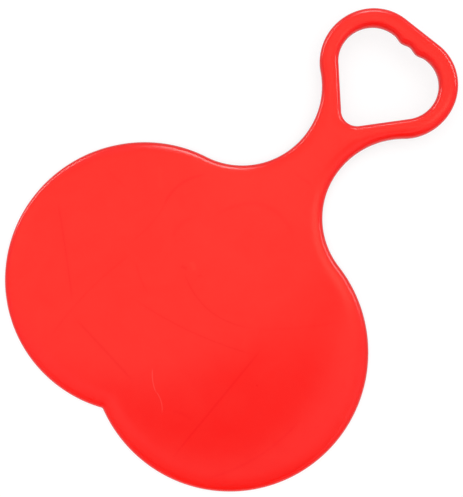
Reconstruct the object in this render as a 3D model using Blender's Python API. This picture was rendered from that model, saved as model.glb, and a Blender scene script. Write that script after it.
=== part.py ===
"""Snow slider: a flat seat of two round lobes, a long neck and a loop handle, moulded in one piece.

Metres, +Z up. +Y runs from the seat to the handle and +X to the rider's right.
The origin is on the ground plane that the runners stand on, under the middle of the slider's length.
"""

import math

import bmesh
import bpy
from mathutils import Vector
from mathutils.geometry import delaunay_2d_cdt

# Outline of the seat, seen from above
SEAT_LOBE_RADIUS = 0.1305
SEAT_LOBE_OFFSET = 0.0550
NOTCH_RADIUS = 0.0030

# Outline of the neck and the handle
HANDLE_REACH = 0.3000
HANDLE_LOBE_RADIUS = 0.0500
HANDLE_LOBE_OFFSET = 0.0205
NECK_WIDTH = 0.0474

# Hand hole, with two finger ridges under its far edge
BAR_WIDTH = 0.0181
HOLE_CORNER_RADIUS = 0.0155
HOLE_CORNER_DROP = 0.0458
RIDGE_HEIGHT = 0.0019
RIDGE_SPACING = 0.0186

# Wall of the moulding and the lip that stiffens its edge
WALL = 0.0030
EDGE_RADIUS = 0.0040
LIP_DEPTH = 0.0065

# Crown of the face: how far it falls away towards its edges, and over what width
CROWN_DROP = 0.0021
CROWN_WIDTH = 0.0200

# Dish of the seat: its depth, how far inside the edge it starts to fall and the width of its flank
DISH_DEPTH = 0.0012
DISH_MARGIN = 0.0200
DISH_FLANK_WIDTH = 0.0800

# Rise of the neck and handle: its height at the far edge, and the two ends of the bend that leads to it,
# measured forward from the middle of the seat
HANDLE_RISE = 0.0336
RISE_START = 0.0700
RISE_STRAIGHT = 0.2100
DISH_FADE_START = 0.1200
DISH_FADE_LENGTH = 0.1100

# The two runners under the seat
RUNNER_OFFSET = 0.0810
RUNNER_WIDTH = 0.0050
RUNNER_HEIGHT = 0.0055
RUNNER_LENGTH = 0.2100
RUNNER_FLAT_LENGTH = 0.1300

# Fineness of the mesh
OUTLINE_STEP = 0.0060
HOLE_STEP = 0.0040
FILL_STEP = 0.0120
EDGE_STEPS = 3
RUNNER_STEPS = 6
MERGE_DISTANCE = 1e-7

PLASTIC_COLOUR = (0.90, 0.012, 0.010, 1.0)
PLASTIC_ROUGHNESS = 0.28


def clear_scene():
    for item in list(bpy.data.objects):
        bpy.data.objects.remove(item, do_unlink=True)


def plastic():
    """Semi-gloss red polythene."""
    material = bpy.data.materials.new("red_plastic")
    material.use_nodes = True
    shader = material.node_tree.nodes["Principled BSDF"]
    shader.inputs["Base Color"].default_value = PLASTIC_COLOUR
    shader.inputs["Roughness"].default_value = PLASTIC_ROUGHNESS
    shader.inputs["Metallic"].default_value = 0.0
    material.diffuse_color = PLASTIC_COLOUR
    return material


class NeckArc:
    """One hollow arc that touches a seat lobe, a handle lobe and the side of the narrowest neck."""

    def __init__(self):
        half = NECK_WIDTH / 2
        seat_in = SEAT_LOBE_RADIUS - half + SEAT_LOBE_OFFSET
        seat_out = SEAT_LOBE_RADIUS + half - SEAT_LOBE_OFFSET
        handle_in = HANDLE_LOBE_RADIUS - half + HANDLE_LOBE_OFFSET
        handle_out = HANDLE_LOBE_RADIUS + half - HANDLE_LOBE_OFFSET
        share = handle_in / seat_in
        rest = HANDLE_REACH ** 2 - handle_in * handle_out + share * seat_in * seat_out
        root = math.sqrt(HANDLE_REACH ** 2 - (1 - share) * rest)
        y = (HANDLE_REACH - root) / (1 - share)
        self.radius = (y * y / seat_in - seat_out) / 2
        self.centre = Vector((half + self.radius, y))


# In the outline's own plane the middle of the seat is at (0, 0)
SEAT_CENTRE = Vector((SEAT_LOBE_OFFSET, 0))
HANDLE_CENTRE = Vector((HANDLE_LOBE_OFFSET, HANDLE_REACH))
NECK = NeckArc()
NOTCH_POINT = Vector((0, -math.sqrt(SEAT_LOBE_RADIUS ** 2 - SEAT_LOBE_OFFSET ** 2)))
SEAT_MIDDLE_Y = (SEAT_LOBE_RADIUS - HANDLE_REACH - HANDLE_LOBE_RADIUS) / 2


def angle_of(vector):
    return math.atan2(vector.y, vector.x)


def arc(centre, radius, start, end, step, solid_inside):
    """Points along an arc, each with the direction that leads into the plastic."""
    count = max(3, math.ceil(abs(end - start) * radius / step))
    points = []
    for index in range(count):
        angle = start + (end - start) * index / count
        outward = Vector((math.cos(angle), math.sin(angle)))
        points.append((centre + outward * radius, -outward if solid_inside else outward))
    return points


def straight(start, end, inward, step):
    count = max(1, math.ceil((end - start).length / step))
    return [(start.lerp(end, index / count), inward) for index in range(count)]


def mirrored_loop(half, last):
    """A right half from the rear to the front, closed by its mirror image."""
    right = half + [last]
    left = [(Vector((-p.x, p.y)), Vector((-n.x, n.y))) for p, n in reversed(half[1:])]
    return right + left


def outer_outline():
    notch_centre_y = -math.sqrt((SEAT_LOBE_RADIUS + NOTCH_RADIUS) ** 2 - SEAT_LOBE_OFFSET ** 2)
    notch_centre = Vector((0, notch_centre_y))
    to_notch = angle_of(notch_centre - SEAT_CENTRE)
    to_neck = angle_of(NECK.centre - SEAT_CENTRE)
    handle_to_neck = angle_of(NECK.centre - HANDLE_CENTRE)
    half = arc(notch_centre, NOTCH_RADIUS, math.pi / 2, to_notch + math.pi, OUTLINE_STEP, False)
    half += arc(SEAT_CENTRE, SEAT_LOBE_RADIUS, to_notch, to_neck, OUTLINE_STEP, True)
    half += arc(NECK.centre, NECK.radius, to_neck + math.pi, handle_to_neck + math.pi, OUTLINE_STEP, False)
    half += arc(HANDLE_CENTRE, HANDLE_LOBE_RADIUS, handle_to_neck, math.pi / 2, OUTLINE_STEP, True)
    far_corner = HANDLE_CENTRE + Vector((0, HANDLE_LOBE_RADIUS))
    far_middle = Vector((0, far_corner.y))
    half += straight(far_corner, far_middle, Vector((0, -1)), OUTLINE_STEP)
    return mirrored_loop(half, (far_middle, Vector((0, -1))))


def with_ridge(point, inward):
    """Moves a point of the hole's far edge onto the two finger ridges."""
    if abs(point.x) >= RIDGE_SPACING or point.y < HANDLE_REACH:
        return point, inward
    wave = 2 * math.pi / RIDGE_SPACING
    drop = RIDGE_HEIGHT / 2 * (1 - math.cos(wave * point.x))
    slope = RIDGE_HEIGHT / 2 * wave * math.sin(wave * point.x)
    return point - Vector((0, drop)), (inward + Vector((slope, 0))).normalized()


class HandHole:
    """Right half of the hand hole: a corner towards the seat, a straight flank and a lobe."""

    def __init__(self):
        self.radius = HANDLE_LOBE_RADIUS - BAR_WIDTH
        self.corner = Vector((0, HANDLE_REACH - HOLE_CORNER_DROP))
        across = HANDLE_CENTRE - self.corner
        self.tangent = angle_of(across) - math.acos((HOLE_CORNER_RADIUS - self.radius) / across.length)
        self.side = Vector((math.cos(self.tangent), math.sin(self.tangent)))
        self.flank_start = self.corner + self.side * HOLE_CORNER_RADIUS
        self.flank_end = HANDLE_CENTRE + self.side * self.radius


HOLE = HandHole()


def hole_outline():
    """The hand hole, with its ridged far edge."""
    half = arc(HOLE.corner, HOLE_CORNER_RADIUS, -math.pi / 2, HOLE.tangent, HOLE_STEP, False)
    half += straight(HOLE.flank_start, HOLE.flank_end, HOLE.side, HOLE_STEP)
    half += arc(HANDLE_CENTRE, HOLE.radius, HOLE.tangent, math.pi / 2, HOLE_STEP, False)
    far_corner = HANDLE_CENTRE + Vector((0, HOLE.radius))
    far_middle = Vector((0, far_corner.y))
    half += straight(far_corner, far_middle, Vector((0, 1)), HOLE_STEP / 2)
    half = [with_ridge(point, inward) for point, inward in half]
    return mirrored_loop(half, with_ridge(far_middle, Vector((0, 1))))


def clamp(value, low, high):
    return min(max(value, low), high)


def smooth_step(value):
    value = clamp(value, 0.0, 1.0)
    return value * value * (3 - 2 * value)


def depth_from_right_edge(point):
    """Distance from a point on the face to the nearest point of the outline's right half."""
    from_seat, from_handle = point - SEAT_CENTRE, point - HANDLE_CENTRE
    if angle_of(from_seat) < angle_of(NOTCH_POINT - SEAT_CENTRE):
        return (point - NOTCH_POINT).length
    if angle_of(from_seat) <= angle_of(NECK.centre - SEAT_CENTRE):
        return SEAT_LOBE_RADIUS - from_seat.length
    if angle_of(from_handle) < angle_of(NECK.centre - HANDLE_CENTRE):
        return (point - NECK.centre).length - NECK.radius
    if angle_of(from_handle) < math.pi / 2:
        return HANDLE_LOBE_RADIUS - from_handle.length
    return HANDLE_LOBE_RADIUS - from_handle.y


def depth_from_hole(point):
    """Distance from a point on the face to the nearest point of the hand hole's right half."""
    from_lobe, from_corner = point - HANDLE_CENTRE, point - HOLE.corner
    if angle_of(from_lobe) > math.pi / 2:
        return from_lobe.y - HOLE.radius
    if angle_of(from_lobe) > HOLE.tangent:
        return from_lobe.length - HOLE.radius
    if from_corner.dot(HOLE.flank_end - HOLE.flank_start) > 0:
        return from_corner.dot(HOLE.side) - HOLE_CORNER_RADIUS
    return from_corner.length - HOLE_CORNER_RADIUS


def crown_drop(depth):
    """How far the face falls away at a distance from one of its edges."""
    return CROWN_DROP * clamp(1 - depth / CROWN_WIDTH, 0.0, 1.0) ** 3


def dish_height(depth):
    """Height of the dish above its level bottom."""
    return DISH_DEPTH * smooth_step(1 - (depth - DISH_MARGIN) / DISH_FLANK_WIDTH)


def neck_rise(y):
    """Height that the neck and handle gain with their distance from the seat."""
    bend = RISE_STRAIGHT - RISE_START
    slope = HANDLE_RISE / (bend / 2 + HANDLE_REACH + HANDLE_LOBE_RADIUS - RISE_STRAIGHT)
    into_bend = clamp(y - RISE_START, 0.0, bend)
    return slope * (into_bend ** 2 / (2 * bend) + max(y - RISE_STRAIGHT, 0.0))


def top_height(point):
    """Height of the face above the ground, before its edge is rounded over."""
    right, left = [depth_from_right_edge(Vector((across, point.y))) for across in (point.x, -point.x)]
    dish = dish_height(min(right, left))
    if point.y > 0:
        dish = min(dish_height(right) + dish_height(left), DISH_DEPTH)
    dish *= 1 - smooth_step((point.y - DISH_FADE_START) / DISH_FADE_LENGTH)
    to_hole = depth_from_hole(Vector((abs(point.x), point.y)))
    drop = crown_drop(min(right, left)) + crown_drop(to_hole)
    return RUNNER_HEIGHT + WALL + dish + neck_rise(point.y) - drop


def place(point, height):
    return Vector((point.x, point.y + SEAT_MIDDLE_Y, height))


def add_edge(mesh, outline, faces_out):
    """The rounded edge and its lip as rings of quads. Returns the innermost ring and its points."""
    rings = []
    plan = [edge_point for edge_point, _ in outline]
    rings.append([(point, top_height(point) - LIP_DEPTH) for point in plan])
    for index in range(EDGE_STEPS + 1):
        turn = math.pi / 2 * index / EDGE_STEPS
        inset = EDGE_RADIUS * (1 - math.cos(turn))
        drop = EDGE_RADIUS * (1 - math.sin(turn))
        moved = [point + inward * inset for point, inward in outline]
        rings.append([(point, top_height(point) - drop) for point in moved])
    loops = [[mesh.verts.new(place(point, height)) for point, height in ring] for ring in rings]
    for lower, upper in zip(loops, loops[1:]):
        for index in range(len(lower)):
            after = (index + 1) % len(lower)
            corners = [lower[index], lower[after], upper[after], upper[index]]
            mesh.faces.new(corners if faces_out else corners[::-1])
    return loops[-1], [point for point, _ in rings[-1]]


def encloses(loop, point):
    """Whether a closed loop of points goes round a point."""
    crossings = 0
    for start, end in zip(loop, loop[1:] + loop[:1]):
        if (start.y > point.y) == (end.y > point.y):
            continue
        share = (point.y - start.y) / (end.y - start.y)
        if start.x + (end.x - start.x) * share > point.x:
            crossings += 1
    return crossings % 2 == 1


def fill_points(outer_points, hole_points):
    """A triangular grid of points on the seat's face that keeps clear of its edges."""
    row_step = FILL_STEP * math.sqrt(3) / 2
    rows = math.ceil((HANDLE_REACH + HANDLE_LOBE_RADIUS + SEAT_LOBE_RADIUS) / row_step)
    columns = math.ceil((SEAT_LOBE_OFFSET + SEAT_LOBE_RADIUS) / FILL_STEP)
    points = []
    for row in range(rows + 1):
        y = row * row_step - SEAT_LOBE_RADIUS
        shift = FILL_STEP / 2 if row % 2 else 0.0
        for column in range(-columns - 1, columns + 1):
            point = Vector((column * FILL_STEP + shift, y))
            if not encloses(outer_points, point) or encloses(hole_points, point):
                continue
            if min((point - other).length for other in outer_points + hole_points) > FILL_STEP * 0.6:
                points.append(point)
    return points


def fill_face(mesh, outer_ring, outer_points, hole_ring, hole_points):
    """The seat's face between the two inner rings, as triangles that follow its crown and dish."""
    boundary = outer_points + hole_points
    ring_verts = outer_ring + hole_ring
    outer_count = len(outer_points)
    total = len(boundary)
    edges = [(i, (i + 1) % outer_count) for i in range(outer_count)]
    edges += [(i, i + 1 if i + 1 < total else outer_count) for i in range(outer_count, total)]
    inner = fill_points(outer_points, hole_points)
    inside_edges = 1
    flat, _, triangles, sources, _, _ = delaunay_2d_cdt(
        boundary + inner, edges, [], inside_edges, MERGE_DISTANCE)
    made = {}
    for triangle in triangles:
        middle = sum((flat[index] for index in triangle), Vector((0, 0))) / 3
        if encloses(hole_points, middle):
            continue
        corners = []
        for index in triangle:
            source = sources[index][0]
            if source < total:
                corners.append(ring_verts[source])
                continue
            if index not in made:
                made[index] = mesh.verts.new(place(flat[index], top_height(flat[index])))
            corners.append(made[index])
        mesh.faces.new(corners)


def build_shell(material):
    """The whole moulding as one skin, thickened inwards to its wall."""
    mesh = bmesh.new()
    outer_ring, outer_points = add_edge(mesh, outer_outline(), True)
    hole_ring, hole_points = add_edge(mesh, hole_outline(), False)
    fill_face(mesh, outer_ring, outer_points, hole_ring, hole_points)
    data = bpy.data.meshes.new("slider_body")
    mesh.to_mesh(data)
    mesh.free()
    shell = bpy.data.objects.new("slider_body", data)
    bpy.context.collection.objects.link(shell)
    data.materials.append(material)
    wall = shell.modifiers.new("wall", "SOLIDIFY")
    wall.thickness = WALL
    wall.offset = -1
    wall.use_even_offset = True
    wall.use_quality_normals = True
    return shell


def build_runner(side, material):
    """One runner: flat where it stands on the ground, with both ends curving up into the seat."""
    mesh = bmesh.new()
    sections = []
    flat = RUNNER_FLAT_LENGTH / 2
    end = RUNNER_LENGTH / 2
    stations = [end - (end - flat) * index / RUNNER_STEPS for index in range(RUNNER_STEPS + 1)]
    level_steps = math.ceil(flat / FILL_STEP)
    stations += [flat - flat * index / level_steps for index in range(1, level_steps)]
    stations = [-y for y in stations] + [0.0] + stations[::-1]
    for y in stations:
        under = top_height(Vector((RUNNER_OFFSET, y))) - WALL
        curl = max(abs(y) - flat, 0.0) / (end - flat)
        low = (under + WALL / 4) * curl ** 2
        high = under + WALL / 2
        left, right = side * RUNNER_OFFSET - RUNNER_WIDTH / 2, side * RUNNER_OFFSET + RUNNER_WIDTH / 2
        corners = [(left, low), (right, low), (right, high), (left, high)]
        sections.append([mesh.verts.new(place(Vector((x, y)), z)) for x, z in corners])
    for near, far in zip(sections, sections[1:]):
        for index in range(4):
            after = (index + 1) % 4
            mesh.faces.new([near[index], near[after], far[after], far[index]])
    mesh.faces.new(sections[0][::-1])
    mesh.faces.new(sections[-1])
    bmesh.ops.recalc_face_normals(mesh, faces=mesh.faces)
    data = bpy.data.meshes.new("runner")
    mesh.to_mesh(data)
    mesh.free()
    runner = bpy.data.objects.new("runner", data)
    bpy.context.collection.objects.link(runner)
    data.materials.append(material)
    runner.hide_render = True
    runner.display_type = "WIRE"
    return runner


def join_runner(shell, runner):
    """Moulds a runner onto the underside."""
    union = shell.modifiers.new(runner.name, "BOOLEAN")
    union.operation = "UNION"
    union.solver = "EXACT"
    union.object = runner


def shade_round(shell):
    shell.data.shade_smooth()
    shell.data.set_sharp_from_angle(angle=math.radians(40))


def main():
    clear_scene()
    material = plastic()
    shell = build_shell(material)
    shade_round(shell)
    for side in (-1, 1):
        join_runner(shell, build_runner(side, material))


main()
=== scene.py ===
# %% [markdown]
# # A snow slider in red polythene
# The real object is a single injection moulding. It has an almost flat seat of two round
# lobes, a short neck and a loop to hold, with a rounded edge and two runners underneath.
# This lesson loads the plain solid that was built to size, models a finer skin over it with the
# tools that a person would use by hand, and gives it its plastic, its light and its camera.

# %% Load the solid model
import math

import bmesh
import bpy
from mathutils import Matrix, Vector


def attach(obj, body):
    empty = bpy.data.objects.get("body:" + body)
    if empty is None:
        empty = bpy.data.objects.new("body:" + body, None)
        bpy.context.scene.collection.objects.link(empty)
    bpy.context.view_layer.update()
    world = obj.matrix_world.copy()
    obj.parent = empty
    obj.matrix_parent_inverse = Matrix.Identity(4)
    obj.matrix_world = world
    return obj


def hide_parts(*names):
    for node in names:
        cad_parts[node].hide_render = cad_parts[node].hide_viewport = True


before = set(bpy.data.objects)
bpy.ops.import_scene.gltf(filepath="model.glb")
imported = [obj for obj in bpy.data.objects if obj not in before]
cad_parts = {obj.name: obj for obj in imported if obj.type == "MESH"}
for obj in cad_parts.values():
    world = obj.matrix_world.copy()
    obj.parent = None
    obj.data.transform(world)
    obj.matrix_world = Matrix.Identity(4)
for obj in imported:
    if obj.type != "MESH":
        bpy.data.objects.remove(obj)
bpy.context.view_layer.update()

# %% [markdown]
# ## The sizes
# A moulding like this is drawn with a compass: every part of its outline is an arc that runs
# smoothly into the next. These are the same sizes, in metres, that the solid model was built
# from, so the finer skin will lie exactly where the solid does.

# %% Sizes of the moulding
SEAT_LOBE_RADIUS = 0.1305
SEAT_LOBE_OFFSET = 0.0550
NOTCH_RADIUS = 0.0030
HANDLE_REACH = 0.3000
HANDLE_LOBE_RADIUS = 0.0500
HANDLE_LOBE_OFFSET = 0.0205
NECK_WIDTH = 0.0474
BAR_WIDTH = 0.0181
HOLE_CORNER_RADIUS = 0.0155
HOLE_CORNER_DROP = 0.0458
RIDGE_HEIGHT = 0.0019
RIDGE_SPACING = 0.0186
WALL = 0.0030
EDGE_RADIUS = 0.0040
LIP_DEPTH = 0.0065
CROWN_DROP = 0.0021
CROWN_WIDTH = 0.0200
DISH_DEPTH = 0.0012
DISH_MARGIN = 0.0200
DISH_FLANK_WIDTH = 0.0800
HANDLE_RISE = 0.0336
RISE_START = 0.0700
RISE_STRAIGHT = 0.2100
DISH_FADE_START = 0.1200
DISH_FADE_LENGTH = 0.1100
RUNNER_OFFSET = 0.0810
RUNNER_WIDTH = 0.0050
RUNNER_HEIGHT = 0.0055
RUNNER_LENGTH = 0.2100
RUNNER_FLAT_LENGTH = 0.1300
print("slider", round(HANDLE_REACH + HANDLE_LOBE_RADIUS + SEAT_LOBE_RADIUS, 4), "m long")

# %% [markdown]
# ## Where the arcs meet
# Two arcs run smoothly into each other where the line through their centres crosses them. The
# hollow arc beside the neck has to touch the seat lobe, the handle lobe and the narrowest part
# of the neck. That is three conditions for one circle, and they have one answer in closed form.
# Working it out is better than nudging a curve by eye, because no kink can creep in.

# %% Centres of the arcs
SEAT_MIDDLE_Y = (SEAT_LOBE_RADIUS - HANDLE_REACH - HANDLE_LOBE_RADIUS) / 2
SEAT_CENTRE = Vector((SEAT_LOBE_OFFSET, SEAT_MIDDLE_Y))
HANDLE_CENTRE = Vector((HANDLE_LOBE_OFFSET, SEAT_MIDDLE_Y + HANDLE_REACH))


def neck_arc():
    """Centre and radius of the hollow arc that runs from the seat to the handle."""
    half = NECK_WIDTH / 2
    seat_in = SEAT_LOBE_RADIUS - half + SEAT_LOBE_OFFSET
    seat_out = SEAT_LOBE_RADIUS + half - SEAT_LOBE_OFFSET
    handle_in = HANDLE_LOBE_RADIUS - half + HANDLE_LOBE_OFFSET
    handle_out = HANDLE_LOBE_RADIUS + half - HANDLE_LOBE_OFFSET
    share = handle_in / seat_in
    rest = HANDLE_REACH ** 2 - handle_in * handle_out + share * seat_in * seat_out
    y = (HANDLE_REACH - math.sqrt(HANDLE_REACH ** 2 - (1 - share) * rest)) / (1 - share)
    radius = (y * y / seat_in - seat_out) / 2
    return Vector((half + radius, SEAT_MIDDLE_Y + y)), radius


NECK_CENTRE, NECK_RADIUS = neck_arc()
print("neck arc of", round(NECK_RADIUS * 1000, 1), "mm round", [round(c, 4) for c in NECK_CENTRE])

# %% [markdown]
# ## Drawing the outline
# The slider is the same left and right, so only its right half is drawn. The outline could be a
# curve object, but a single vertex swept with Spin gives true arcs whose ends meet to a
# hair's breadth, and the mesh is ready to be filled at once. A plane is merged to one vertex,
# which starts in the notch between the two seat lobes.

# %% Helpers for drawing
OUTLINE_STEP = 0.0015
RIDGE_STEPS = 20
SAME_PLACE = 0.00002
ON_A_LINE = 0.00001


def angle_of(vector):
    """Angle of a flat vector, anticlockwise from +X."""
    return math.atan2(vector.y, vector.x)


def sweep(centre, turn, step=OUTLINE_STEP):
    """Spins the last vertex round a centre and leaves an arc of short edges behind it."""
    mesh = bmesh.from_edit_mesh(bpy.context.object.data)
    vertex = next(v for v in mesh.verts if v.select)
    steps = max(3, math.ceil(abs(turn) * (vertex.co.xy - centre).length / step))
    bpy.ops.mesh.spin(steps=steps, angle=abs(turn), center=(*centre, 0.0),
                      axis=(0, 0, -1 if turn > 0 else 1))


def steps_for(length):
    """How many steps of the outline a straight line takes."""
    return math.ceil(length / OUTLINE_STEP)


def run(x, y, steps=1):
    """Extrudes the last vertex along a straight line, in equal steps."""
    for _ in range(steps):
        bpy.ops.mesh.extrude_region_move(
            TRANSFORM_OT_translate={"value": (x / steps, y / steps, 0)})


# %% Start in the notch
NOTCH_CENTRE = Vector((0, SEAT_MIDDLE_Y - math.sqrt(
    (SEAT_LOBE_RADIUS + NOTCH_RADIUS) ** 2 - SEAT_LOBE_OFFSET ** 2)))
bpy.ops.object.select_all(action="DESELECT")
bpy.ops.mesh.primitive_plane_add(
    size=0.01, location=(0, NOTCH_CENTRE.y + NOTCH_RADIUS, 0))
slider = bpy.context.object
slider.name = "moulded_slider"
slider.data.name = "moulded_slider"
bpy.ops.object.transform_apply(location=True)
bpy.ops.object.mode_set(mode="EDIT")
bpy.ops.mesh.select_mode(type="VERT")
bpy.ops.mesh.select_all(action="SELECT")
bpy.ops.mesh.merge(type="CENTER")

# %% Sweep the outer edge
to_notch = angle_of(NOTCH_CENTRE - SEAT_CENTRE)
seat_to_neck = angle_of(NECK_CENTRE - SEAT_CENTRE)
handle_to_neck = angle_of(NECK_CENTRE - HANDLE_CENTRE)
sweep(NOTCH_CENTRE, to_notch + math.pi / 2, OUTLINE_STEP / 4)
sweep(SEAT_CENTRE, seat_to_neck - to_notch)
sweep(NECK_CENTRE, handle_to_neck - seat_to_neck)
sweep(HANDLE_CENTRE, math.pi / 2 - handle_to_neck)
run(-HANDLE_LOBE_OFFSET, 0, steps_for(HANDLE_LOBE_OFFSET))
run(0, -BAR_WIDTH)

# %% Sweep the hand hole
hole_radius = HANDLE_LOBE_RADIUS - BAR_WIDTH
hole_corner = Vector((0, HANDLE_CENTRE.y - HOLE_CORNER_DROP))
across = HANDLE_CENTRE - hole_corner
tangent = angle_of(across) - math.acos((HOLE_CORNER_RADIUS - hole_radius) / across.length)
side = Vector((math.cos(tangent), math.sin(tangent)))
flank = hole_corner + side * HOLE_CORNER_RADIUS - HANDLE_CENTRE - side * hole_radius
run(RIDGE_SPACING, 0, RIDGE_STEPS)
run(HANDLE_LOBE_OFFSET - RIDGE_SPACING, 0, steps_for(HANDLE_LOBE_OFFSET - RIDGE_SPACING))
sweep(HANDLE_CENTRE, tangent - math.pi / 2)
run(flank.x, flank.y, steps_for(flank.length))
sweep(hole_corner, -math.pi / 2 - tangent, OUTLINE_STEP / 2)
notch_top = NOTCH_CENTRE.y + NOTCH_RADIUS
run(0, notch_top - hole_corner.y + HOLE_CORNER_RADIUS)
bpy.ops.mesh.select_all(action="SELECT")
bpy.ops.mesh.remove_doubles(threshold=SAME_PLACE)
print("half outline of", len(bmesh.from_edit_mesh(slider.data).verts), "points")

# %% [markdown]
# ## The finger ridges
# Inside the loop, the edge under the fingers has two low waves that stop a glove from sliding.
# One vertex is pulled down by the height of the wave with proportional editing, and the smooth
# falloff draws the rest of it. The mirror will make the second one.


# %% Pull the ridge down
def pick(kind, wanted):
    """Selects the vertices, edges or faces of the mesh in edit mode that pass a test."""
    bpy.ops.mesh.select_mode(type={"verts": "VERT", "edges": "EDGE", "faces": "FACE"}[kind])
    bpy.ops.mesh.select_all(action="DESELECT")
    mesh = bmesh.from_edit_mesh(bpy.context.object.data)
    found = [item for item in getattr(mesh, kind) if wanted(item)]
    for item in found:
        item.select_set(True)
    bmesh.update_edit_mesh(bpy.context.object.data)
    return len(found)


hole_far_y = HANDLE_CENTRE.y + hole_radius
ridge_top = Vector((RIDGE_SPACING / 2, hole_far_y, 0))
pick("verts", lambda v: (v.co - ridge_top).length < SAME_PLACE)
bpy.ops.transform.translate(
    value=(0, -RIDGE_HEIGHT, 0), use_proportional_edit=True, use_proportional_connected=True,
    proportional_edit_falloff="SMOOTH", proportional_size=RIDGE_SPACING / 2)

# %% [markdown]
# ## Plate, lip and mirror
# The loop is filled as one face. Its edges, apart from those on the middle line, are extruded
# down to make the lip that stiffens the real moulding, and a Mirror modifier adds the left half.

# %% Fill the half, pull down the lip and mirror it
bpy.ops.mesh.select_all(action="SELECT")
bpy.ops.mesh.edge_face_add()
pick("edges", lambda e: max(abs(v.co.x) for v in e.verts) > ON_A_LINE)
bpy.ops.mesh.extrude_region_move(TRANSFORM_OT_translate={"value": (0, 0, -LIP_DEPTH)})
bpy.ops.object.mode_set(mode="OBJECT")
bpy.ops.object.modifier_add(type="MIRROR")
slider.modifiers[-1].merge_threshold = SAME_PLACE
bpy.ops.object.modifier_apply(modifier=slider.modifiers[-1].name)
bpy.ops.object.mode_set(mode="EDIT")
bpy.ops.mesh.select_all(action="SELECT")
bpy.ops.mesh.normals_make_consistent(inside=False)
if max(bmesh.from_edit_mesh(slider.data).faces, key=lambda f: f.calc_area()).normal.z < 0:
    bpy.ops.mesh.flip_normals()
print("flat plate with its lip:", len(slider.data.polygons), "faces in the left and right halves")

# %% [markdown]
# ## Rounding the edge
# The rim of the seat and the loop is rounded over with a radius of 4 mm, which is what catches
# the light in a bright line. Bevel does this best while the top is still one flat face, because
# nothing there can get in its way. The top is inset once afterwards, so that the cuts of the
# next step stay clear of the rounding.

# %% Bevel the rim and inset the top
RIM_INSET = 0.0012


def is_top(face):
    """Whether a face is the one large face on top."""
    return face.normal.z > 0.99 and face.calc_area() > 0.01


pick("edges", lambda e: len(e.link_faces) == 2
     and max(f.normal.z for f in e.link_faces) > 0.9
     and min(f.normal.z for f in e.link_faces) < 0.1)
bpy.ops.mesh.bevel(offset_type="OFFSET", offset=EDGE_RADIUS, segments=10, profile=0.5,
                   affect="EDGES", clamp_overlap=False)
pick("faces", is_top)
bpy.ops.mesh.inset(thickness=RIM_INSET, depth=0, use_even_offset=True)
print("rounded rim:", len(bmesh.from_edit_mesh(slider.data).faces), "faces")

# %% [markdown]
# ## Cutting the top into a grid
# The top has to bend into a crown and a shallow dish, and one flat face can't. Everything else
# is hidden, and the top is bisected by straight cuts 3 mm apart, in both directions. Such a
# grid of cuts keeps the outline as it is, which a remesh wouldn't.

# %% Bisect the top
GRID_STEP = 0.0030
pick("faces", is_top)
bpy.ops.mesh.hide(unselected=True)


def cut_along(direction, first, last):
    """Bisects all that shows with parallel planes."""
    count = math.floor((last - first) / GRID_STEP)
    for index in range(1, count + 1):
        bpy.ops.mesh.select_all(action="SELECT")
        bpy.ops.mesh.bisect(plane_co=Vector(direction) * (first + index * GRID_STEP),
                            plane_no=direction, threshold=ON_A_LINE)


half_width = SEAT_LOBE_OFFSET + SEAT_LOBE_RADIUS
columns = math.floor(half_width / GRID_STEP)
cut_along((1, 0, 0), -(columns + 0.5) * GRID_STEP, (columns + 0.5) * GRID_STEP)
cut_along((0, 1, 0), SEAT_CENTRE.y - SEAT_LOBE_RADIUS, HANDLE_CENTRE.y + HANDLE_LOBE_RADIUS)
bpy.ops.mesh.reveal(select=False)
bpy.ops.object.mode_set(mode="OBJECT")
print("after the grid:", len(slider.data.polygons), "faces")

# %% [markdown]
# ## Crown, dish and rise
# The face looks flat, but its reflections say more. They slide off all round the edge, so it
# falls away there in a soft crown, on the seat as on the bar of the handle. Inside the crown
# the seat is a very shallow dish, and the neck climbs to the handle. Sculpting or a lattice
# could do it, but a formula keeps it even all the way round. It is written into a vertex group
# as weights, and a Displace modifier lifts each vertex by its weight.


# %% Distance from the edges
def clamp(value, low, high):
    """The value, kept between two limits."""
    return min(max(value, low), high)


def smooth_step(value):
    """Goes smoothly from 0 to 1 while a value does."""
    value = clamp(value, 0.0, 1.0)
    return value * value * (3 - 2 * value)


NOTCH_POINT = Vector((0, SEAT_MIDDLE_Y - math.sqrt(SEAT_LOBE_RADIUS ** 2 - SEAT_LOBE_OFFSET ** 2)))


def depth_from_right_edge(point):
    """Distance from a point on the face to the nearest point of the outline's right half."""
    from_seat, from_handle = point - SEAT_CENTRE, point - HANDLE_CENTRE
    if angle_of(from_seat) < angle_of(NOTCH_POINT - SEAT_CENTRE):
        return (point - NOTCH_POINT).length
    if angle_of(from_seat) <= seat_to_neck:
        return SEAT_LOBE_RADIUS - from_seat.length
    if angle_of(from_handle) < handle_to_neck:
        return (point - NECK_CENTRE).length - NECK_RADIUS
    if angle_of(from_handle) < math.pi / 2:
        return HANDLE_LOBE_RADIUS - from_handle.length
    return HANDLE_LOBE_RADIUS - from_handle.y


def depth_from_hole(point):
    """Distance from a point on the face to the nearest point of the hand hole's right half."""
    from_lobe, from_corner = point - HANDLE_CENTRE, point - hole_corner
    if angle_of(from_lobe) > math.pi / 2:
        return from_lobe.y - hole_radius
    if angle_of(from_lobe) > tangent:
        return from_lobe.length - hole_radius
    if from_corner.dot(flank) < 0:
        return from_corner.dot(side) - HOLE_CORNER_RADIUS
    return from_corner.length - HOLE_CORNER_RADIUS


# %% Height of the face
def crown_drop(depth):
    """How far the face falls away at a distance from one of its edges."""
    return CROWN_DROP * clamp(1 - depth / CROWN_WIDTH, 0.0, 1.0) ** 3


def dish_height(depth):
    """Height of the dish above its level bottom."""
    return DISH_DEPTH * smooth_step(1 - (depth - DISH_MARGIN) / DISH_FLANK_WIDTH)


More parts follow.
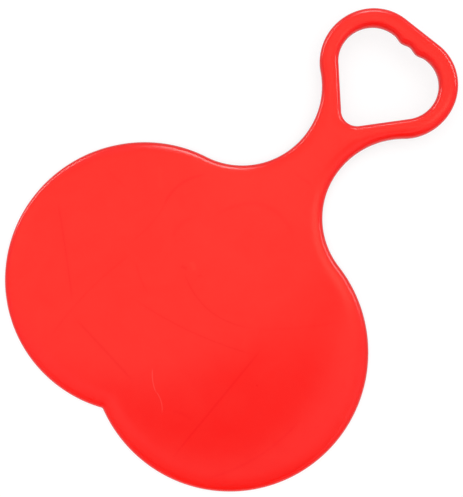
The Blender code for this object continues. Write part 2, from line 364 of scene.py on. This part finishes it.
def neck_rise(forward):
    """Height that the neck and handle gain with their distance from the seat's middle."""
    bend = RISE_STRAIGHT - RISE_START
    slope = HANDLE_RISE / (bend / 2 + HANDLE_REACH + HANDLE_LOBE_RADIUS - RISE_STRAIGHT)
    into_bend = clamp(forward - RISE_START, 0.0, bend)
    return slope * (into_bend ** 2 / (2 * bend) + max(forward - RISE_STRAIGHT, 0.0))


def face_height(x, y):
    """Height of the face above the bottom of the dish."""
    right, left = [depth_from_right_edge(Vector((across, y))) for across in (x, -x)]
    forward = y - SEAT_MIDDLE_Y
    dish = dish_height(min(right, left))
    if forward > 0:
        dish = min(dish_height(right) + dish_height(left), DISH_DEPTH)
    dish *= 1 - smooth_step((forward - DISH_FADE_START) / DISH_FADE_LENGTH)
    drop = crown_drop(min(right, left)) + crown_drop(depth_from_hole(Vector((abs(x), y))))
    return dish + neck_rise(forward) - drop


print("crown", CROWN_DROP * 1000, "mm, dish", DISH_DEPTH * 1000, "mm, tip of the handle",
      round(face_height(0, HANDLE_CENTRE.y + HANDLE_LOBE_RADIUS) * 1000, 1), "mm above the dish")

# %% Lift the mesh by its weights
MOST_LIFT = 0.05


def lift(piece, name, most, height_at):
    """Raises or lowers each vertex by a height that is worked out from its place."""
    group = piece.vertex_groups.new(name=name)
    for vertex in piece.data.vertices:
        group.add([vertex.index], clamp(height_at(vertex.co) / most, 0.0, 1.0), "REPLACE")
    bpy.ops.object.modifier_add(type="DISPLACE")
    displace = piece.modifiers[-1]
    displace.direction = "Z"
    displace.mid_level = 0.0
    displace.strength = most
    displace.vertex_group = name
    bpy.ops.object.modifier_apply(modifier=displace.name)
    piece.vertex_groups.remove(piece.vertex_groups[name])


lift(slider, "face", MOST_LIFT, lambda place: RUNNER_HEIGHT + WALL + face_height(place.x, place.y))

# %% [markdown]
# ## The wall
# The moulding is a skin 3 mm thick. Solidify grows it inwards, with an even offset so that the
# wall keeps its thickness round the rim, and closes it along the foot of the lip. A real lip
# has no knife edge, so both corners of its foot get a small bevel.

# %% Thicken the skin and soften the foot of the lip
LIP_FOOT_ROUNDING = 0.0007
LIP_CORNER = math.radians(60)
bpy.ops.object.modifier_add(type="SOLIDIFY")
wall = slider.modifiers[-1]
wall.thickness = WALL
wall.offset = -1
wall.use_even_offset = True
wall.use_quality_normals = True
bpy.ops.object.modifier_apply(modifier=wall.name)
bpy.ops.object.mode_set(mode="EDIT")
corners = pick("edges", lambda e: len(e.link_faces) == 2 and e.calc_face_angle() > LIP_CORNER)
bpy.ops.mesh.bevel(offset_type="OFFSET", offset=LIP_FOOT_ROUNDING, segments=2, profile=0.5,
                   affect="EDGES", clamp_overlap=True)
bpy.ops.object.mode_set(mode="OBJECT")
print("foot of the lip:", corners, "corner edges softened,", len(slider.data.polygons), "faces in all")

# %% [markdown]
# ## The runners
# Two runners under the seat keep it straight on the snow. Each is a long block whose ends curl
# up into the seat. It starts as a cube, is rounded along its foot and cut into short lengths,
# then its top is lifted into the seat's wall and its ends are curled, both with weights again.

# %% Model one runner
RUNNER_FOOT_ROUNDING = 0.0012
MOST_CURL = 0.02


def underside(y):
    """Height of the seat's underside above a runner."""
    return RUNNER_HEIGHT + face_height(RUNNER_OFFSET, y)


bpy.ops.object.select_all(action="DESELECT")
bpy.ops.mesh.primitive_cube_add(
    size=1, location=(RUNNER_OFFSET, SEAT_MIDDLE_Y, RUNNER_HEIGHT / 2 + WALL / 4),
    scale=(RUNNER_WIDTH, RUNNER_LENGTH, RUNNER_HEIGHT + WALL / 2))
runner = bpy.context.object
runner.name = "runner"
bpy.ops.object.transform_apply(location=True, rotation=True, scale=True)
bpy.ops.object.mode_set(mode="EDIT")
pick("edges", lambda e: abs(e.verts[0].co.y - e.verts[1].co.y) > RUNNER_LENGTH / 2
     and max(v.co.z for v in e.verts) < RUNNER_HEIGHT / 2)
bpy.ops.mesh.bevel(offset_type="OFFSET", offset=RUNNER_FOOT_ROUNDING, segments=4, profile=0.5,
                   affect="EDGES")
cut_along((0, 1, 0), SEAT_MIDDLE_Y - RUNNER_LENGTH / 2, SEAT_MIDDLE_Y + RUNNER_LENGTH / 2)
bpy.ops.object.mode_set(mode="OBJECT")


def runner_lift(place):
    """The top follows the underside of the seat, and the foot curls up beyond its flat length."""
    along = abs(place.y - SEAT_MIDDLE_Y)
    curl = max(along - RUNNER_FLAT_LENGTH / 2, 0) * 2 / (RUNNER_LENGTH - RUNNER_FLAT_LENGTH)
    top = underside(place.y) - RUNNER_HEIGHT
    foot = (underside(place.y) + WALL / 4) * curl ** 2
    share = place.z / (RUNNER_HEIGHT + WALL / 2)
    return foot * (1 - share) + top * share


lift(runner, "curl", MOST_CURL, runner_lift)
bpy.ops.object.modifier_add(type="MIRROR")
bpy.ops.object.modifier_apply(modifier=runner.modifiers[-1].name)
bpy.ops.object.mode_set(mode="EDIT")
bpy.ops.mesh.select_all(action="SELECT")
bpy.ops.mesh.normals_make_consistent(inside=False)
bpy.ops.object.mode_set(mode="OBJECT")
print("runners:", len(runner.data.polygons), "faces")

# %% [markdown]
# ## One moulding
# In the mould, seat and runners fill as one, so the runners are joined with an exact Boolean
# union and their block is deleted. Smooth shading by angle then hides the facets.

# %% Join the runners to the seat
SMOOTH_BELOW = math.radians(35)


def mould_on(piece, extra):
    """Joins a second block to the moulding and deletes it."""
    bpy.ops.object.select_all(action="DESELECT")
    bpy.context.view_layer.objects.active = piece
    piece.select_set(True)
    bpy.ops.object.modifier_add(type="BOOLEAN")
    union = piece.modifiers[-1]
    union.operation = "UNION"
    union.solver = "EXACT"
    union.object = extra
    bpy.ops.object.modifier_apply(modifier=union.name)
    bpy.data.objects.remove(extra)


mould_on(slider, runner)
bpy.ops.object.shade_smooth_by_angle(angle=SMOOTH_BELOW)
loose = bmesh.new()
loose.from_mesh(slider.data)
open_edges = sum(1 for edge in loose.edges if not edge.is_manifold)
volume = loose.calc_volume()
loose.free()
triangles = sum(len(polygon.vertices) - 2 for polygon in slider.data.polygons)
print("moulding:", triangles, "triangles,", open_edges, "open edges,", round(volume * 1e6, 1), "cm3")

# %% Hand the piece over to the frame
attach(slider, "root")
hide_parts("slider_body")

# %% [markdown]
# ## The camera
# The slider was photographed from about a metre above it, a little to its right, with the handle
# pointing to the upper right of the picture. These values come from fitting the outline.

# %% Place the camera
PICTURE_HEIGHT = 497
FOCAL_PIXELS = 1052.6
CAMERA_TURN = (math.radians(10.10), math.radians(-0.08), math.radians(40.43))
CAMERA_OFFSET = Vector((0.0277, 0.0215, -1.0158))
camera_data = bpy.data.cameras.new("camera")
camera = bpy.data.objects.new("camera", camera_data)
bpy.context.scene.collection.objects.link(camera)
camera.rotation_euler = CAMERA_TURN
camera.location = -(camera.rotation_euler.to_matrix() @ CAMERA_OFFSET)
camera_data.sensor_fit = "VERTICAL"
camera_data.sensor_height = 24.0
camera_data.lens = FOCAL_PIXELS / PICTURE_HEIGHT * camera_data.sensor_height
bpy.context.scene.camera = camera
bpy.context.scene.view_settings.view_transform = "Standard"
print("camera at", [round(c, 3) for c in camera.location])

# %% [markdown]
# ## Writing a material as sums
# A material is a graph of nodes, and wiring it by hand in code is hard to read. This small
# class wraps the output of a node. Sums on it add Math nodes, and its node method adds any
# other kind.


# %% A wire that can be added and multiplied
class Wire:
    """The output of a shader node, for use in sums."""

    def __init__(self, tree, socket=None):
        self.tree = tree
        self.socket = socket

    def node(self, kind, settings, inputs, output=0):
        """Adds a node: its settings first, then the values and links of its sockets."""
        made = self.tree.nodes.new(kind)
        for name, value in settings.items():
            setattr(made, name, value)
        for name, value in inputs.items():
            if isinstance(value, Wire):
                self.tree.links.new(value.socket, made.inputs[name])
            else:
                made.inputs[name].default_value = value
        return Wire(self.tree, made.outputs[output] if made.outputs else None)

    def maths(self, operation, *values):
        """Adds a Math node."""
        return self.node("ShaderNodeMath", {"operation": operation}, dict(enumerate(values)))

    def __add__(self, other):
        return self.maths("ADD", self, other)

    def __sub__(self, other):
        return self.maths("SUBTRACT", self, other)

    def __rsub__(self, other):
        return self.maths("SUBTRACT", other, self)

    def __mul__(self, other):
        return self.maths("MULTIPLY", self, other)

    def __truediv__(self, other):
        return self.maths("DIVIDE", self, other)

    def __abs__(self):
        return self.maths("ABSOLUTE", self)

    __radd__ = __add__
    __rmul__ = __mul__


def new_tree(owner):
    """Empties the node tree of a material or world and returns a wire to start from."""
    owner.use_nodes = True
    owner.node_tree.nodes.clear()
    return Wire(owner.node_tree)


def fade(value, start, end, low=0.0, high=1.0):
    """Goes smoothly from low to high while a value goes from start to end."""
    return value.node("ShaderNodeMapRange", {"interpolation_type": "SMOOTHSTEP"},
                      {"Value": value, "From Min": start, "From Max": end,
                       "To Min": low, "To Max": high})


# %% [markdown]
# ## Red polythene
# Pigmented polythene has a clean, saturated red under a semi-gloss skin. Close up it isn't even.
# The melt leaves dark flow lines and soft clouds as it fills the mould, and a fine hair of a
# scratch crosses the seat. The long lines over the two runners are painted shade, where the face
# sinks a little above each runner. Each line is a stroke between two points, with a bow in it,
# and the distance from it says how much the red darkens.

# %% Strokes on the seat, in millimetres
# Each is its first point, its last point, its bow to the left, its half width and its tone.
STROKES = [
    # The first four run over the runners and are painted shade of the face sinking there; the rest are
    # flow marks and specks.
    ((77.7, -92.7), (79.5, -217.9), 0.0, 1.7, -1.2),
    ((-72.0, 2.4), (-82.7, -45.6), -6.8, 2.4, -1.3),
    ((-83.2, -42.1), (-82.7, -90.5), 3.0, 1.6, -0.6),
    ((-75.1, -99.9), (-80.3, -212.5), -4.8, 1.8, -0.6),
    ((-161.7, -109.7), (-86.5, -172.6), 0.6, 1.8, -1.0),
    ((-71.2, -182.6), (4.3, -190.7), 0.2, 2.0, -1.1),
    ((114.8, -215.0), (147.0, -117.5), -8.0, 2.2, -0.7),
    ((-44.6, -132.4), (76.5, -98.6), -5.3, 1.6, -0.9),
    ((-25.5, -82.3), (56.6, -82.3), -12.2, 1.6, -1.1),
    ((55.1, -83.5), (118.6, -20.8), -3.5, 1.8, -0.4),
    ((-37.9, -19.0), (33.3, 11.6), 20.7, 4.0, -0.6),
    ((-55.3, -64.6), (-53.9, -37.1), 3.6, 4.0, -0.5),
    ((-66.5, -104.6), (-38.9, -119.5), -1.6, 1.8, -0.6),
    ((-6.0, 58.7), (14.1, 60.2), 0.0, 2.4, -0.6),
    ((-145.9, -55.3), (-118.7, -56.9), 0.0, 2.4, -0.4),
    ((51.4, -188.1), (71.5, -183.0), 2.0, 3.0, -0.5),
    ((-111.6, -18.3), (-95.3, -36.9), 0.0, 4.0, 0.4),
    ((-31.5, -80.0), (-25.5, -78.0), 0.0, 2.5, -1.5),
    ((-27.0, -70.0), (-18.5, -75.0), 0.0, 4.0, 1.0),
    ((-12.8, -78.0), (-9.0, -74.0), 1.0, 1.8, -0.8),
    ((95.2, -119.5), (97.2, -118.5), 0.0, 1.1, -3.0),
]
SCRATCH = [
    ((12.1, -170.6), (28.9, -184.9), -1.4, 0.7),
    ((28.3, -184.2), (45.5, -195.5), 2.1, 0.7),
]


def stroke(place, first, last, bow, width):
    """Is 1 along a bowed line between two points, and fades to 0 beside it and at its ends."""
    first, last = Vector(first) / 1000, Vector(last) / 1000
    along, middle = (last - first).normalized(), (first + last) / 2
    ways = [along, Vector((-along.y, along.x))]
    forward, left = [
        place.node("ShaderNodeVectorMath", {"operation": "DOT_PRODUCT"}, {0: place, 1: (*way, 0)},
                   output=1) - way.dot(middle) for way in ways]
    share = forward * (2 / (last - first).length)
    aside = left - bow / 1000 * (1.0 - share * share)
    return fade(abs(aside), width / 1000, 0.0) * fade(abs(share), 1.1, 0.7)


# %% The plastic
DEEP_RED = (0.95, 0.0005, 0.0003, 1.0)
LIGHT_RED = (1.0, 0.0110, 0.0057, 1.0)
SCRATCHED_RED = (1.0, 0.045, 0.040, 1.0)
CLOUDS_PER_METRE = 26.0
CLOUD_TONE = 1.3
RIPPLES_PER_METRE = 420.0
RIPPLE_STRENGTH = 0.04
RIPPLE_HEIGHT = 0.0004
PLASTIC_ROUGHNESS = 0.13
ROUGHNESS_DRIFT = 0.04
PLASTIC_SPECULAR = 0.43
plastic = bpy.data.materials.new("red_polythene")
start = new_tree(plastic)
place = start.node("ShaderNodeTexCoord", {}, {}, output=3)
height = start.node("ShaderNodeSeparateXYZ", {}, {"Vector": place}, output=2)
clouds = start.node("ShaderNodeTexNoise", {}, {
    "Vector": place, "Scale": CLOUDS_PER_METRE, "Detail": 4.0, "Roughness": 0.6, "Distortion": 1.2})
# Flow marks, together with the painted shade of the sinks over the runners.
lines = sum(tone * stroke(place, *shape) for *shape, tone in STROKES)
scratch = sum(stroke(place, *shape) for shape in SCRATCH)
face_only = fade(height, RUNNER_HEIGHT + WALL / 2, RUNNER_HEIGHT + WALL * 0.8)
tone = CLOUD_TONE * (clouds - 0.5) + lines * face_only
red = start.node("ShaderNodeMix", {"data_type": "RGBA"}, {
    0: 0.5 + 0.5 * tone, 6: DEEP_RED, 7: LIGHT_RED}, output=2)
red = start.node("ShaderNodeMix", {"data_type": "RGBA"}, {
    0: scratch * face_only, 6: red, 7: SCRATCHED_RED}, output=2)
ripple = start.node("ShaderNodeTexNoise", {}, {
    "Vector": place, "Scale": RIPPLES_PER_METRE, "Detail": 2.0})
bump = start.node("ShaderNodeBump", {}, {
    "Strength": RIPPLE_STRENGTH, "Distance": RIPPLE_HEIGHT, "Height": ripple})
shader = start.node("ShaderNodeBsdfPrincipled", {}, {
    "Base Color": red, "Roughness": PLASTIC_ROUGHNESS + ROUGHNESS_DRIFT * clouds, "Normal": bump,
    "Specular IOR Level": PLASTIC_SPECULAR})
start.node("ShaderNodeOutputMaterial", {}, {"Surface": shader})
slider.data.materials.clear()
slider.data.materials.append(plastic)
print("plastic with", len(STROKES), "strokes and", len(start.tree.nodes), "nodes")

# %% [markdown]
# ## The white table
# The slider lies on a white table, and in the picture the table is as white as the paper.
# Its paint is only a mid grey where it lights the slider from below, because the underside of
# the rim is dark in the photograph. Where the camera looks at it, or a glossy reflection does,
# a glow brings it up to white, and enough of the slider's shadow is left to ground it.

# %% White table
TABLE_SIZE = 6.0
TABLE_GREY = 0.30
TABLE_GLOW = 0.73
CAMERA_RAY, GLOSSY_RAY, TRANSMISSION_RAY = 0, 3, 6


def seen_by_eye(start):
    """Is 1 where the camera looks, directly, in a reflection or through glass."""
    rays = [start.node("ShaderNodeLightPath", {}, {}, output=ray)
            for ray in (CAMERA_RAY, GLOSSY_RAY, TRANSMISSION_RAY)]
    return rays[0].maths("MAXIMUM", rays[0], rays[1].maths("MAXIMUM", rays[1], rays[2]))


bpy.ops.object.select_all(action="DESELECT")
bpy.ops.mesh.primitive_plane_add(size=TABLE_SIZE, location=(0, 0, 0))
table = bpy.context.object
table.name = "white_table"
paint = bpy.data.materials.new("white_table")
start = new_tree(paint)
matt = start.node("ShaderNodeBsdfDiffuse", {}, {"Color": (TABLE_GREY, TABLE_GREY, TABLE_GREY, 1.0)})
glow = start.node("ShaderNodeEmission", {}, {"Strength": TABLE_GLOW})
both = start.node("ShaderNodeAddShader", {}, {0: matt, 1: glow})
mixed = start.node("ShaderNodeMixShader", {}, {0: seen_by_eye(start), 1: matt, 2: both})
start.node("ShaderNodeOutputMaterial", {}, {"Surface": mixed})
table.data.materials.append(paint)
print("table of grey", TABLE_GREY, "with a glow of", TABLE_GLOW)

# %% [markdown]
# ## The white room
# The colour is lit by a soft light from all round, at a level at which it renders about as it is
# written. Most of it comes from above, which leaves the steep rims dark, and less of it from
# beyond the handle, as in the photograph. A wide lamp overhead draws the shadow. Where the
# camera looks past everything else the room is plain white, and in reflections it dims behind
# the camera. Blender normally also aims light at a surface straight from the world, gloss
# included, which would wash out what the gloss shows, so the world's own sampling is switched
# off. So soft a room doesn't need it, because its light changes slowly from side to side.

# %% White room
ROOM_LIGHT = 0.925
ROOM_SLANT = 0.45
ROOM_HORIZON = 0.25
OVERHEAD_GAIN = 1.5
world = bpy.data.worlds.new("white_room")
bpy.context.scene.world = world
world.cycles.sampling_method = "NONE"
start = new_tree(world)
direction = start.node("ShaderNodeTexCoord", {}, {}, output=0)
away = start.node("ShaderNodeVectorMath", {"operation": "DOT_PRODUCT"}, {
    0: direction, 1: (-math.sin(CAMERA_TURN[2]), math.cos(CAMERA_TURN[2]), 0.0)}, output=1)
overhead = start.node("ShaderNodeSeparateXYZ", {}, {"Vector": direction}, output=2)
height_share = ROOM_HORIZON + OVERHEAD_GAIN * (1 - ROOM_HORIZON) * overhead
room = start.node("ShaderNodeBackground", {}, {
    "Strength": ROOM_LIGHT * height_share * (1.0 - ROOM_SLANT * away)})
walls = 0.5 + 0.5 * away
to_eye = start.node("ShaderNodeLightPath", {}, {}, output=CAMERA_RAY)
white = start.node("ShaderNodeBackground", {}, {
    "Strength": walls.maths("MAXIMUM", walls.maths("SQRT", walls), to_eye)})
for background in (room, white):
    background.socket.node.inputs["Color"].default_value = (1.0, 1.0, 1.0, 1.0)
mixed = start.node("ShaderNodeMixShader", {}, {0: seen_by_eye(start), 1: room, 2: white})
start.node("ShaderNodeOutputWorld", {}, {"Surface": mixed})
print("room light", ROOM_LIGHT, "with a slant of", ROOM_SLANT)

# %% Lamp overhead
LAMP_LIGHT = 0.17
LAMP_SIZE = 3.0
lamp = bpy.data.lights.new("ceiling_lamp", "AREA")
lamp.size = LAMP_SIZE
lamp.energy = LAMP_LIGHT * math.pi ** 2 * LAMP_SIZE ** 2
ceiling_lamp = bpy.data.objects.new("ceiling_lamp", lamp)
bpy.context.scene.collection.objects.link(ceiling_lamp)
ceiling_lamp.location = (0, 0, LAMP_SIZE)
ceiling_lamp.visible_camera = False
ceiling_lamp.visible_glossy = False
print("lamp of", LAMP_LIGHT, "and", LAMP_SIZE, "m wide")

# %% [markdown]
# ## What the gloss shows
# Gloss is a weak mirror. In the photograph it shows bright lines on the rounded edges, which are
# three soft boxes beyond the upper left, top and right of the picture. On the flat face it shows
# a ceiling, bright over the handle and dimmer over the seat, with a lamp's glow to the right
# and the dark shape of the camera. Glowing panels take their place. Only glossy reflections see
# them, so they neither light the slider nor shade it, and the camera looks straight through.


# %% Panels for the reflections
def picture_move(right, up):
    """A move along the table, from how far it goes right and up in the picture."""
    turn = CAMERA_TURN[2]
    return Vector((math.cos(turn) * right - math.sin(turn) * up,
                   math.sin(turn) * right + math.cos(turn) * up, 0))


def panel(name, place, turn, width, depth):
    """A flat panel that only reflections see. Returns the start of its material."""
    bpy.ops.object.select_all(action="DESELECT")
    bpy.ops.mesh.primitive_plane_add(size=1, location=place, rotation=turn)
    made = bpy.context.object
    made.name = name
    made.scale = (width, depth, 1)
    bpy.ops.object.transform_apply(location=False, rotation=False, scale=True)
    made.visible_camera = False
    made.visible_diffuse = False
    made.visible_shadow = False
    made.visible_transmission = False
    paint = bpy.data.materials.new(name)
    paint.cycles.emission_sampling = "NONE"
    made.data.materials.append(paint)
    print(name, width, "x", depth, "m at", [round(c, 2) for c in place])
    return new_tree(paint)


def split(start):
    """The two coordinates of a place on a panel, from its middle."""
    place = start.node("ShaderNodeTexCoord", {}, {}, output=3)
    return [start.node("ShaderNodeSeparateXYZ", {}, {"Vector": place}, output=axis) for axis in (0, 1)]


# %% Three soft boxes
BOX_DISTANCE = 2.2
BOX_END = 0.3


def toward(azimuth, elevation):
    """A direction, whose azimuth goes anticlockwise from the right of the picture."""
    azimuth, elevation = math.radians(azimuth), math.radians(elevation)
    flat = picture_move(math.cos(azimuth), math.sin(azimuth)) * math.cos(elevation)
    return flat + Vector((0, 0, math.sin(elevation)))


def soft_box(name, first, last, height, strength):
    """A long glowing box between two directions that faces the slider."""
    ends = [toward(*end) * BOX_DISTANCE for end in (first, last)]
    along, middle = ends[1] - ends[0], (ends[0] + ends[1]) / 2
    width = along.length
    along.normalize()
    facing = middle.normalized()
    turn = Matrix((along, facing.cross(along), facing)).transposed().to_euler()
    start = panel(name, middle, turn, width, height)
    right, up = [abs(part) for part in split(start)]
    soft = fade(right, width / 2, width / 2 - BOX_END) * fade(up, height / 2, 0.0)
    shine = start.node("ShaderNodeEmission", {}, {"Strength": strength * soft})
    clear = start.node("ShaderNodeBsdfTransparent", {}, {})
    both = start.node("ShaderNodeAddShader", {}, {0: shine, 1: clear})
    start.node("ShaderNodeOutputMaterial", {}, {"Surface": both})


soft_box("left_box", (116, 46), (158, 8), 0.60, 8.0)
soft_box("middle_box", (105, 52), (74, 58), 0.62, 12.0)
soft_box("right_box", (64, 59), (12, 44), 0.68, 10.0)


# %% Ceiling and camera
def oval(right, up, half_width, half_depth):
    """Distance from where right and up are 0, in a measure that is 1 on an oval."""
    across, along = right / half_width, up / half_depth
    squares = across * across + along * along
    return squares.maths("SQRT", squares)


SHAPE_DARK = 0.86
SHAPE_UP = 0.050
SHAPE_SIZE = (0.24, 0.08)
SHAPE_TILT = math.radians(17)
SHAPE_BOW = 2.1
GLOW_BRIGHT = 0.95
GLOW_RIGHT = 0.28
GLOW_UP = 0.31
GLOW_SIZE = (0.17, 0.11)
CAMERA_FOOT = Vector((camera.location.x, camera.location.y, 0))
CEILING_MIDDLE = (-0.16, -0.875)
CEILING_WIDTH = 1.26
CEILING_DEPTH = 3.25
CEILING_HEIGHT = 1.0
place = CAMERA_FOOT + picture_move(*CEILING_MIDDLE) + Vector((0, 0, CEILING_HEIGHT))
start = panel("ceiling_and_camera", place, (0, 0, CAMERA_TURN[2]), CEILING_WIDTH, CEILING_DEPTH)
right, up = [part + shift for part, shift in zip(split(start), CEILING_MIDDLE)]

# %% Light of the ceiling
# Places are in metres from the camera, to the right and up in the picture.
# The ceiling is dim low down, where only its sides keep a little light.
level = fade(up, -0.52, 0.27)
level = level.maths("MAXIMUM", level, 0.5 * fade(abs(right), 0.2, 1.2))
# Two brighter bands, in the middle and at the left, cross it higher up, and its top is dimmer.
bands = 0.03 + 0.20 * fade(abs(right), 0.14, 0.05) + 0.14 * fade(right, -0.40, -0.55)
sides = 0.89 + bands * fade(up, 0.25, 0.40) - 0.20 * fade(up, 0.60, 0.80)
# The right is a little darker low down.
shade = 1.0 - 0.2 * fade(right, 0.25, 0.5) * fade(up, 0.35, 0.15)
# The camera's shape is a tilted, bent oval, and the lamp's glow is a plain one.
turned_right = right * math.cos(SHAPE_TILT) + up * math.sin(SHAPE_TILT)
turned_up = up * math.cos(SHAPE_TILT) - right * math.sin(SHAPE_TILT)
bent_up = turned_up - SHAPE_BOW * turned_right * turned_right
dark_shape = fade(oval(turned_right, bent_up - SHAPE_UP, *SHAPE_SIZE), 0.4, 1.4, SHAPE_DARK, 0.0)
glow = GLOW_BRIGHT * fade(oval(right - GLOW_RIGHT, up - GLOW_UP, *GLOW_SIZE), 0.2, 1.0, 1.0, 0.0)
brightness = (level * sides * shade + glow) * (1.0 - dark_shape)
tint = start.node("ShaderNodeCombineColor", {}, {
    "Red": 1.0, "Green": 1.0, "Blue": fade(up, 0.0, 0.25, 0.94, 0.76)})
shine = start.node("ShaderNodeEmission", {}, {"Color": tint, "Strength": brightness})
start.node("ShaderNodeOutputMaterial", {}, {"Surface": shine})
